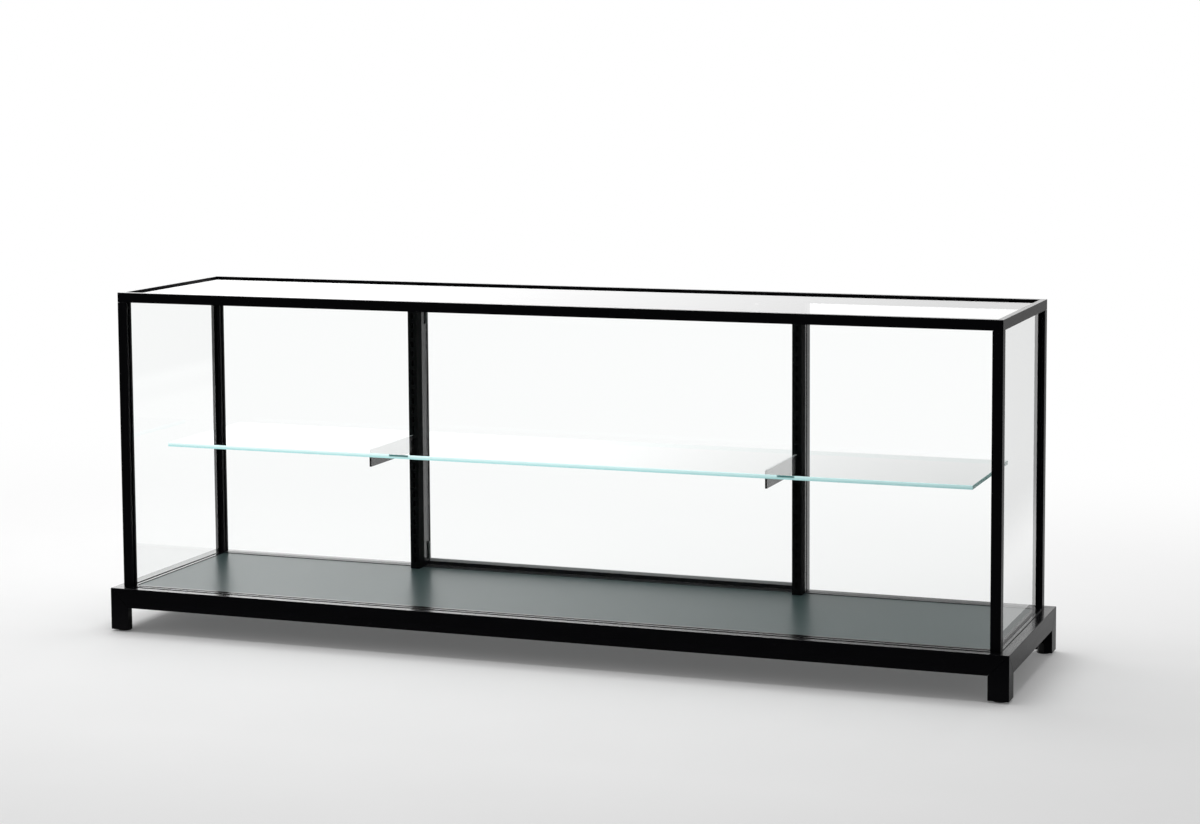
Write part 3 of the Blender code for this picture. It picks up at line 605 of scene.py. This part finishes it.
def eased_outline(corners, ease):
    """Rounds the square corners of a closed outline.

    At each corner the arc is centre - ease * (cos t * next + sin t * previous) for t from 0 to a
    right angle, where next and previous are the unit directions to the neighbouring corners and
    centre is corner + ease * both."""
    corners = np.asarray(corners, float)
    ease = np.broadcast_to(np.asarray(ease, float), len(corners))[:, None]
    back = unit(np.roll(corners, 1, axis=0) - corners)
    onward = unit(np.roll(corners, -1, axis=0) - corners)
    centre = corners + ease * (back + onward)
    turn = np.linspace(0, math.pi / 2, ARC_STEPS + 1)[None, :, None]
    swing = np.cos(turn) * onward[:, None] + np.sin(turn) * back[:, None]
    arcs = centre[:, None] - ease[:, None] * swing
    before = corners + (ease + ARC_GUARD) * back
    after = corners + (ease + ARC_GUARD) * onward
    return np.concatenate([before[:, None], arcs, after[:, None]], axis=1).reshape(-1, 2)


def inset(outline, amount):
    """Moves every point of an outline inwards, along the mean of its two edges' normals."""
    onward = np.roll(outline, -1, axis=0)
    edge = unit(onward - outline)
    normal = np.stack([-edge[:, 1], edge[:, 0]], axis=1)
    area = np.sum(outline[:, 0] * onward[:, 1] - onward[:, 0] * outline[:, 1])
    return outline + unit(normal + np.roll(normal, 1, axis=0)) * amount * np.sign(area)


print("points to a rounded corner:", ARC_STEPS + 3)


# %% [markdown]
# A row of rings becomes a mesh in one step: every four neighbouring points make a face, and one
# flat face closes each end. The sign of the volume says whether the faces point outwards, and if
# not they are turned round. Blender could recalculate the normals, but the sum is short and
# always right.

# %% Faces and UV map of a row of rings
def enclosed(points, quads, caps):
    """Six times the volume inside the faces. It is below zero when they point inwards."""
    a, b, c, d = [points[quads[:, n]] for n in range(4)]
    volume = np.sum(a * np.cross(b, c)) + np.sum(a * np.cross(c, d))
    for cap in caps:
        rim = points[cap]
        volume += np.sum(rim.mean(axis=0) * np.cross(rim, np.roll(rim, -1, axis=0)))
    return volume


def unrolled(rings, onward, i, j):
    """UV corners of every quad: U is the distance along the rings and V the distance round them."""
    length = np.linalg.norm(onward - rings[:len(onward)], axis=2).mean(axis=1)
    edge = np.linalg.norm(np.roll(rings[1], -1, axis=0) - rings[1], axis=1)
    along, wrap = [np.concatenate([[0], np.cumsum(step)]) for step in (length, edge)]
    corners = (i, j), (i, j + 1), (i + 1, j + 1), (i + 1, j)
    return np.stack([np.stack([along[p], wrap[q]], axis=1) for p, q in corners], axis=1)


print("rings can be skinned")

# %% [markdown]
# The mesh takes its points and faces from the arrays at once. Smooth shading with sharp edges above
# an angle keeps the flats flat. Each finished piece then says which body it moves with and which
# imported solid it stands for.

# %% Rings to mesh
SHARP_ANGLE = math.radians(32)
made = []


def skin(name, rings, finishes, flat_uv, side=0, ends=0, loop=False):
    """Skins rings[i, j], ring i and point j: quads (i, j), (i, j+1), (i+1, j+1), (i+1, j) and ends.

    flat_uv holds the outline that lays the two end faces flat in the UV map. In a loop the last
    ring joins the first one and there are no end faces."""
    count, around = rings.shape[:2]
    points = rings.reshape(-1, 3)
    onward = np.roll(rings, -1, axis=0)[:count if loop else count - 1]
    i, j = np.indices((len(onward), around)).reshape(2, -1)
    k, m = (j + 1) % around, (i + 1) % count
    quads = np.stack([i * around + j, i * around + k, m * around + k, m * around + j], axis=1)
    quad_uv = unrolled(rings, onward, i, j)
    caps, cap_uv = [], []
    if not loop:
        caps = [np.arange(around)[::-1], np.arange(around) + (count - 1) * around]
        cap_uv = [flat_uv[::-1], flat_uv]
    if enclosed(points, quads, caps) < 0:
        quads, quad_uv = quads[:, ::-1], quad_uv[:, ::-1]
        caps, cap_uv = [cap[::-1] for cap in caps], cap_uv[::-1]
    mesh = bpy.data.meshes.new(name)
    mesh.from_pydata(points.tolist(), [], quads.tolist() + [cap.tolist() for cap in caps])
    layer = mesh.uv_layers.new(name="wrap")
    layer.data.foreach_set("uv", np.concatenate([quad_uv.reshape(-1, 2)] + cap_uv).reshape(-1))
    for finish in finishes:
        mesh.materials.append(finish)
    index = np.concatenate([np.full(len(quads), side), np.full(len(caps), ends)])
    mesh.polygons.foreach_set("material_index", index.astype(np.int32))
    mesh.polygons.foreach_set("use_smooth", np.ones(len(index), bool))
    mesh.set_sharp_from_angle(angle=SHARP_ANGLE)
    mesh.update()
    return put(name, mesh)


def settle(piece, body, slot, *nodes):
    """Says what the piece rides on and which solids it stands for. The slot is not used."""
    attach(piece, body)
    if nodes:
        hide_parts(*nodes)
    made.append(piece)


print("pieces made so far:", len(made))

# %% [markdown]
# A bar is its outline carried from one end to the other. At a mitre the end isn't square: each
# point of the outline has its own end, so start and stop are worked out from the outline. Cutting
# a longer bar would need a Boolean, and this doesn't. The last half millimetre is drawn in a
# little, which eases the sawn edge and leaves the fine seam that shows between two real bars.

# %% Carried bars
SAWN_EASE = 0.0004          # how far the end of a bar is drawn in


def carry(outline, axes, origin, start, stop, ease):
    """Rings of a bar: origin + p * axes[0] + q * axes[1] + s * axes[2].

    s runs from start(p, q) to stop(p, q) for each point (p, q) of the outline."""
    small = inset(outline, ease)
    rows = [(small, start(*small.T)), (outline, start(*outline.T) + ease),
            (outline, stop(*outline.T) - ease), (small, stop(*small.T))]
    axes = np.asarray(axes, float)
    return np.stack([origin + ring @ axes[:2] + s[:, None] * axes[2] for ring, s in rows])


def bar(name, outline, axes, origin, start, stop, ease=SAWN_EASE, finishes=(black_frame,),
        side=0, ends=0):
    """A bar from an outline and its two ends."""
    rings = carry(outline, axes, np.asarray(origin, float), start, stop, ease)
    return skin(name, rings, finishes, outline, side, ends)


def level_end(value):
    """A square end: the same place for every point of the outline."""
    return lambda p, q: np.full_like(p, value)


print("ends drawn in by", SAWN_EASE * 1000, "mm")

# %% [markdown]
# The four sides of a frame differ only in where they start and which way they run. One table
# holds that, so four bars come from one function: the direction along the side, the direction
# inwards, and the corner that it starts from.

# %% Sides of a frame
SIDES = {
    "front": ((1, 0, 0), (0, 1, 0), (-1, -1)),
    "rear": ((1, 0, 0), (0, -1, 0), (-1, 1)),
    "left": ((0, 1, 0), (1, 0, 0), (-1, -1)),
    "right": ((0, 1, 0), (-1, 0, 0), (1, -1)),
}
UP = np.array([0.0, 0.0, 1.0])
SEAM = 0.00015              # half the gap between two mitred bars


def span(prefix):
    """Lowest and highest corner of the four sides of a frame together."""
    lows, highs = zip(*[corners_of(prefix + side) for side in SIDES])
    return np.min(lows, axis=0), np.max(highs, axis=0)


def side_bar(name, side, outline, low, high, reach, finish=black_frame):
    """One side of a frame, with its outline in (inwards, downwards).

    It is mitred at both ends, by reach(inwards, downwards) from the frame's corner."""
    run, inward, corner = [np.array(v, float) for v in SIDES[side]]
    length = abs(run @ (high - low))
    start_x, start_y = [(low, high)[corner[axis] > 0][axis] for axis in range(2)]
    return bar(name, outline, (inward, -UP, run), (start_x, start_y, high[2]),
               lambda p, q: reach(p, q) + SEAM, lambda p, q: length - reach(p, q) - SEAM,
               finishes=(finish,))


print("sides:", ", ".join(SIDES))

# %% [markdown]
# The base is square bar. At each corner two rails and a leg meet, and every one is cut to a
# point, so the seams run from the corner like the edges of a box seen from outside. A bar's end
# is then the larger of the two mitre distances. The rails have a step on the inside that the
# upper frame and the board drop into.

# %% Base rails
ROOM = 0.0003               # play round a piece that sits in a step or a groove
BASE_EASE = 0.0007

base_low, base_high = span("base_rail_")
sill_low, sill_high = span("sill_")
leg_low, leg_high = corners_of("leg_front_left")
BASE_BAR = leg_high[0] - leg_low[0]
STEP_IN = sill_low[0] - base_low[0] - ROOM
STEP_DOWN = base_high[2] - sill_low[2] + ROOM
rail_outline = eased_outline([(0, 0), (STEP_IN, 0), (STEP_IN, STEP_DOWN), (BASE_BAR, STEP_DOWN),
                              (BASE_BAR, BASE_BAR), (0, BASE_BAR)], BASE_EASE)
for side in SIDES:
    rail = side_bar("base_rail_" + side + "_bar", side, rail_outline, base_low, base_high,
                    np.maximum)
    settle(rail, "frame", "black_frame", "base_rail_" + side)
print("base bar", round(BASE_BAR, 4), "step", round(STEP_IN, 4), round(STEP_DOWN, 4))

# %% [markdown]
# The legs are open on the inside, like an angle bar, and the foot stands in the open corner. One
# outline serves all four, because the two directions across a leg are turned for each corner.

# %% Legs
LEG_WALL = 0.016
CORNERS = {"front_left": (-1, -1), "front_right": (1, -1),
           "rear_left": (-1, 1), "rear_right": (1, 1)}

leg_outline = eased_outline([(0, 0), (BASE_BAR, 0), (BASE_BAR, LEG_WALL), (LEG_WALL, LEG_WALL),
                             (LEG_WALL, BASE_BAR), (0, BASE_BAR)], BASE_EASE)
for corner, (sx, sy) in CORNERS.items():
    leg = bar("leg_" + corner + "_bar", leg_outline, ((-sx, 0, 0), (0, -sy, 0), UP),
              (sx * base_high[0], sy * base_high[1], 0), level_end(leg_low[2]),
              lambda p, q: base_high[2] - SEAM - np.maximum(p, q))
    settle(leg, "frame", "black_frame", "leg_" + corner)
print("legs start", round(leg_low[2], 4), "above the floor")

# %% [markdown]
# The upper frame is thinner bar with a groove for the glass. Where the groove lies is read from
# the glass itself, so bar and sheet always fit. The top rails keep a narrow lip round the top
# sheet.

# %% Sizes of the upper frame
LIP_ROOM = 0.0005           # play between the lip and the top sheet

post_low, post_high = corners_of("post_front_left")
pane_low, pane_high = corners_of("pane_front")
cover_low, cover_high = corners_of("pane_top")
top_low, top_high = span("top_rail_")
FRAME_BAR = post_high[0] - post_low[0]
SILL_HEIGHT = sill_high[2] - sill_low[2]
GROOVE_NEAR = pane_low[1] - sill_low[1] - ROOM
GROOVE_FAR = pane_high[1] - sill_low[1] + ROOM
SILL_GROOVE = sill_high[2] - pane_low[2] + ROOM
RAIL_GROOVE = FRAME_BAR - (pane_high[2] - top_low[2] + ROOM)
POST_GROOVE = pane_low[0] - sill_low[0] - ROOM
LIP = cover_low[0] - top_low[0] - LIP_ROOM
SEAT = top_high[2] - cover_low[2] + ROOM
print("frame bar", round(FRAME_BAR, 4), "lip", round(LIP, 4),
      "groove", round(GROOVE_FAR - GROOVE_NEAR, 4))

# %% [markdown]
# Sills and top rails are mitred flat at the corners. The rear ones have no groove, because the
# back has mullions and a door of its own. Corners inside a groove are nearly sharp, all others
# are eased.

# %% Sills and top rails
FRAME_EASE = 0.0005
GROOVE_EASE = 0.0001


def eases(*counts):
    """Easings of an outline's corners: so many outer ones, so many in a groove, and so on."""
    kinds = (FRAME_EASE, GROOVE_EASE)
    return [kinds[n % 2] for n, count in enumerate(counts) for _ in range(count)]


def flat_mitre(inwards, downwards):
    """The end moves in as far as the point lies inwards."""
    return inwards


plain_sill = eased_outline([(0, 0), (FRAME_BAR, 0), (FRAME_BAR, SILL_HEIGHT), (0, SILL_HEIGHT)],
                           FRAME_EASE)
grooved_sill = eased_outline(
    [(0, 0), (GROOVE_NEAR, 0), (GROOVE_NEAR, SILL_GROOVE), (GROOVE_FAR, SILL_GROOVE),
     (GROOVE_FAR, 0), (FRAME_BAR, 0), (FRAME_BAR, SILL_HEIGHT), (0, SILL_HEIGHT)], eases(1, 4, 3))
plain_top = eased_outline([(0, 0), (LIP, 0), (LIP, SEAT), (FRAME_BAR, SEAT),
                           (FRAME_BAR, FRAME_BAR), (0, FRAME_BAR)], FRAME_EASE)
grooved_top = eased_outline(
    [(0, 0), (LIP, 0), (LIP, SEAT), (FRAME_BAR, SEAT), (FRAME_BAR, FRAME_BAR),
     (GROOVE_FAR, FRAME_BAR), (GROOVE_FAR, RAIL_GROOVE), (GROOVE_NEAR, RAIL_GROOVE),
     (GROOVE_NEAR, FRAME_BAR), (0, FRAME_BAR)], eases(5, 4, 1))
for side in SIDES:
    is_rear = side == "rear"
    sill = side_bar("sill_" + side + "_bar", side, plain_sill if is_rear else grooved_sill,
                    sill_low, sill_high, flat_mitre, dark_rail if is_rear else black_frame)
    settle(sill, "frame", "black_frame", "sill_" + side)
    top = side_bar("top_rail_" + side + "_bar", side, plain_top if is_rear else grooved_top,
                   top_low, top_high, flat_mitre)
    settle(top, "frame", "black_frame", "top_rail_" + side)
print("bars so far:", len(made))

# %% [markdown]
# A post stands at each corner between sill and top rail, with two grooves at a right angle for
# the two sheets that meet there. As with the legs, one outline serves all four.

# %% Posts
post_outline = eased_outline(
    [(0, 0), (FRAME_BAR, 0), (FRAME_BAR, GROOVE_NEAR), (POST_GROOVE, GROOVE_NEAR),
     (POST_GROOVE, GROOVE_FAR), (FRAME_BAR, GROOVE_FAR), (FRAME_BAR, FRAME_BAR),
     (GROOVE_FAR, FRAME_BAR), (GROOVE_FAR, POST_GROOVE), (GROOVE_NEAR, POST_GROOVE),
     (GROOVE_NEAR, FRAME_BAR), (0, FRAME_BAR)], eases(2, 4, 1, 4, 1))
for corner, (sx, sy) in CORNERS.items():
    post = bar("post_" + corner + "_bar", post_outline, ((-sx, 0, 0), (0, -sy, 0), UP),
               (sx * top_high[0], sy * top_high[1], 0),
               level_end(post_low[2]), level_end(post_high[2]))
    settle(post, "frame", "black_frame", "post_" + corner)
print("posts", round(post_high[2] - post_low[2], 4), "high")


# %% [markdown]
# Two mullions divide the back. Each has a groove on its outer side for the fixed glass next to
# it. The door between them is a thin frame of its own, with a groove all round its glass. All six
# bars have one groove, so one function reads bar and sheet and gives the outline.

# %% Mullions and door frame
def grooved_box(node, run, open_side, sheet):
    """Outline of a straight bar with a groove on one side for a sheet, its axes, origin and ends.

    run is the axis that the bar follows, open_side the axis and sign of the grooved face, and the
    third axis is the one that the sheet's thickness lies on."""
    low, high = corners_of(node)
    sheet_low, sheet_high = corners_of(sheet)
    axis, sign = open_side
    thick = 3 - run - axis
    width, depth = (high - low)[axis], (high - low)[thick]
    near = sheet_low[thick] - low[thick] - ROOM
    far = sheet_high[thick] - low[thick] + ROOM
    overlap = sheet_high[axis] - low[axis] if sign < 0 else high[axis] - sheet_low[axis]
    deep = width - (overlap + ROOM)
    outline = eased_outline([(0, 0), (width, 0), (width, near), (deep, near), (deep, far),
                             (width, far), (width, depth), (0, depth)], eases(2, 4, 2))
    axes = np.zeros((3, 3))
    axes[0, axis], axes[1, thick], axes[2, run] = sign, 1, 1
    origin = low.copy()
    origin[axis] = low[axis] if sign > 0 else high[axis]
    origin[run] = 0
    return outline, axes, origin, level_end(low[run]), level_end(high[run])


for side, sign in (("left", -1), ("right", 1)):
    shape = grooved_box("mullion_" + side, 2, (0, sign), "pane_rear_" + side)
    mullion = bar("mullion_" + side + "_bar", *shape, finishes=(dark_bar,))
    settle(mullion, "frame", "black_frame", "mullion_" + side)
    shape = grooved_box("door_stile_" + side, 2, (0, -sign), "door_glass")
    stile = bar("door_stile_" + side + "_bar", *shape, finishes=(dark_bar,))
    settle(stile, "door", "black_frame", "door_stile_" + side)
for part, sign in (("bottom", 1), ("top", -1)):
    shape = grooved_box("door_rail_" + part, 0, (2, sign), "door_glass")
    rail = bar("door_rail_" + part + "_bar", *shape, finishes=(dark_rail,))
    settle(rail, "door", "black_frame", "door_rail_" + part)
print("mullions and door frame:", len(made), "bars so far")

# %% [markdown]
# Sheets are the same thing seen the other way: a large outline carried through a small thickness.
# Glass has a narrow slanted arris along every edge, where the glazier took the sharpness off. The
# faces are clear and the rim is green. The top sheet lies on soft tape and stands a little higher
# than its solid.

# %% Sheets of glass
GLASS_CORNER = 0.0012
GLASS_ARRIS = 0.0008
TAPE_SHARE = 0.35           # part of the top sheet's depth below the rails that the tape takes up
PANES = {"pane_front": 1, "pane_left": 0, "pane_right": 0, "pane_rear_left": 1,
         "pane_rear_right": 1, "pane_top": 2, "shelf_glass": 2, "door_glass": 1}


def slab(name, node, thick, corner, arris, finishes, side=0, ends=0, rise=0.0):
    """A rectangle from a node's box with rounded corners, carried through its thickness.

    A rise lifts the upper face and leaves the lower one in its place."""
    low, high = corners_of(node)
    high[thick] += rise
    first, second = [axis for axis in range(3) if axis != thick]
    width, depth = (high - low)[first], (high - low)[second]
    axes = np.zeros((3, 3))
    axes[0, first] = axes[1, second] = axes[2, thick] = 1
    outline = eased_outline([(0, 0), (width, 0), (width, depth), (0, depth)], corner)
    origin = low.copy()
    origin[thick] = 0
    return bar(name, outline, axes, origin, level_end(low[thick]), level_end(high[thick]), arris,
               finishes, side, ends)


cover_rise = TAPE_SHARE * (top_high[2] - cover_high[2])
for node, thick in PANES.items():
    rim = glass_rim if node == "shelf_glass" else hidden_rim
    rise = cover_rise if node == "pane_top" else 0.0
    sheet = slab(node + "_sheet", node, thick, GLASS_CORNER, GLASS_ARRIS, (clear_glass, rim),
                 side=1, rise=rise)
    settle(sheet, "door" if node == "door_glass" else "frame", "clear_glass", node)
print("sheets of glass:", len(PANES), "and the top one lies",
      round(1000 * (top_high[2] - cover_high[2] - cover_rise), 2), "mm below the rails")


# %% [markdown]
# The board, the bearers under it, the small soft pads, the bead along the door and its finger
# pull are slabs too. They could share one easing, but laminate, metal and rubber are finished
# differently.

# %% Board, bearers, pads and trim
def small_slab(node, ending, thick, finish, body, slot, corner, arris):
    """A slab of one finish that stands for its own node."""
    piece = slab(node + ending, node, thick, corner, arris, (finish,))
    settle(piece, body, slot, node)


small_slab("deck_panel", "_board", 2, deck_board, "frame", "deck_board",
           corner=0.002, arris=0.0006)
for node, thick in (("deck_bearer_front", 0), ("deck_bearer_rear", 0),
                    ("deck_cross_bearer_left", 1), ("deck_cross_bearer_right", 1)):
    small_slab(node, "_bar", thick, black_frame, "frame", "black_frame",
               corner=0.0008, arris=0.0005)
for side in ("left", "right"):
    small_slab("shelf_pad_" + side, "_strip", 2, soft_pad, "frame", "soft_pad",
               corner=0.001, arris=0.0003)
small_slab("door_bead", "_strip", 0, grey_trim, "door", "grey_trim", corner=0.0008, arris=0.0004)
small_slab("door_pull", "_plate", 1, black_frame, "door", "black_frame",
           corner=0.0025, arris=0.0012)
print("pieces so far:", len(made))


# %% [markdown]
# Feet, screws and the lock's barrel are round, so they are turned, as on a lathe: a half profile
# is carried round an axis. The Screw modifier could do it, but the arrays are already at hand.

# %% Turned shapes
def turned(name, profile, place, axis, finish, sides=40, loop=False):
    """Carries rows of (radius, height) round an axis: place + height * axis + radius * circle.

    The circle is cos t * first + sin t * second, two directions at right angles to the axis."""
    axis = np.asarray(axis, float)
    first = np.roll(axis, 1)
    second = np.cross(axis, first)
    angle = np.linspace(0, 2 * math.pi, sides, endpoint=False)
    circle = np.cos(angle)[:, None] * first + np.sin(angle)[:, None] * second
    radius, height = np.asarray(profile, float).T
    rise = height[:, None, None] * axis
    rings = np.asarray(place, float) + rise + radius[:, None, None] * circle[None]
    flat = np.stack([np.cos(angle), np.sin(angle)], axis=1) * radius.max()
    return skin(name, rings, (finish,), flat, loop=loop)


print("profiles can be turned")

# %% [markdown]
# Each foot is a plastic disc under a round boss that fills the leg's open corner. A plain
# cylinder would have sharp edges, which a moulded foot never has, so the disc's edge is rounded.

# %% Feet
DISC_EDGE = ((0.0022, 0), (0.0006, 0.0005), (0, 0.0014), (0, 0.0028),
             (0.0006, 0.0037))  # distance in from the rim, and height
BOSS = 0.0125               # radius of the boss
FILLET, BOSS_EASE = 0.0004, 0.0006

for corner in CORNERS:
    low, high = corners_of("glide_" + corner)
    middle = (low + high) / 2
    disc = (high[0] - low[0]) / 2
    foot = [(disc - inwards, height) for inwards, height in DISC_EDGE]
    disc_top = foot[-1][1]
    foot += [(BOSS + FILLET, disc_top), (BOSS, disc_top + FILLET),
             (BOSS, high[2] - BOSS_EASE), (BOSS - BOSS_EASE, high[2])]
    glide = turned("glide_" + corner + "_foot", foot, (middle[0], middle[1], 0), UP,
                   black_plastic)
    settle(glide, "frame", "black_plastic", "glide_" + corner)
print("feet", round(2 * disc, 4), "wide")

# %% [markdown]
# The lock's barrel is a tube with a rounded flange, and the plug with its cam turns inside it.
# Its profile is a closed loop, because a tube has a wall inside as well as outside.

# %% Lock barrel
BODY, BORE = 0.0075, 0.0053     # radius of the tube outside and inside
BARREL_SIDES = 48

low, high = corners_of("lock_barrel")
middle = (low + high) / 2
flange = (high[0] - low[0]) / 2
face = high[1] - low[1]
tube = [(BORE, 0), (BODY - 0.0004, 0), (BODY, 0.0004), (BODY, face - 0.0019)]
rounded_flange = [(flange, face - 0.0018), (flange, face - 0.0010),
                  (flange - 0.0003, face - 0.0004), (flange - 0.0011, face)]
mouth = [(BORE + 0.0005, face), (BORE, face - 0.0005)]
barrel = turned("lock_barrel_case", tube + rounded_flange + mouth, (middle[0], low[1], middle[2]),
                (0, 1, 0), lock_steel, BARREL_SIDES, loop=True)
settle(barrel, "door", "lock_steel", "lock_barrel")
print("lock flange", round(2 * flange, 4), "wide")

# %% [markdown]
# Two socket screws hold each leaf of the two hinges. They are too small to need a solid, so they
# are made only here, and each one moves with the leaf that it holds.

# %% Hinge screws
SCREW = ((0.0023, -0.0003), (0.0023, 0.0003), (0.0021, 0.0006), (0.0016, 0.0009),
         (0.0012, 0.00095), (0.0011, 0.0003))   # radius and height, from the rim to the socket
SCREW_SIDES = 24
DOOR_SHARES, FRAME_SHARES = (0.26, 0.74), (0.13, 0.37)      # heights as shares of the leaf's
DOOR_EDGE, FRAME_EDGE = 0.0065, 0.0045          # from the leaf's edge to the middle of a screw
LEAF = 0.002                # thickness of a leaf

for tier in ("lower", "upper"):
    low, high = corners_of("hinge_" + tier + "_door_leaf")
    for number, share in enumerate(DOOR_SHARES, 1):
        place = (high[0] - DOOR_EDGE, high[1], low[2] + share * (high[2] - low[2]))
        screw = turned("hinge_%s_door_screw_%d" % (tier, number), SCREW, place, (0, 1, 0),
                       black_steel, SCREW_SIDES)
        settle(screw, "door", "black_steel")
    low, high = corners_of("hinge_" + tier + "_frame_leaf")
    for number, share in enumerate(FRAME_SHARES, 1):
        place = (high[0] - LEAF, low[1] + FRAME_EDGE, low[2] + share * (high[2] - low[2]))
        screw = turned("hinge_%s_frame_screw_%d" % (tier, number), SCREW, place, (-1, 0, 0),
                       black_steel, SCREW_SIDES)
        settle(screw, "frame", "black_steel")
print("pieces made:", len(made))

# %% [markdown]
# The slotted bars, brackets, hinges and the lock's plug could be made again too, but their packed
# shape is right already. They only get a better finish.

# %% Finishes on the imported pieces
KEPT = {("upright_", ""): plain_bar, ("shelf_bracket_", ""): black_steel,
        ("hinge_", "_leaf"): black_steel, ("hinge_", "_plate"): plate_grey,
        ("lock_cam", ""): lock_steel}
finished = []
for name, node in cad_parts.items():
    for (first, last), finish in KEPT.items():
        if name.startswith(first) and name.endswith(last):
            for number in range(len(node.data.materials)):
                node.data.materials[number] = finish
            finished.append(name)
print("packed pieces that stay:", len(finished))
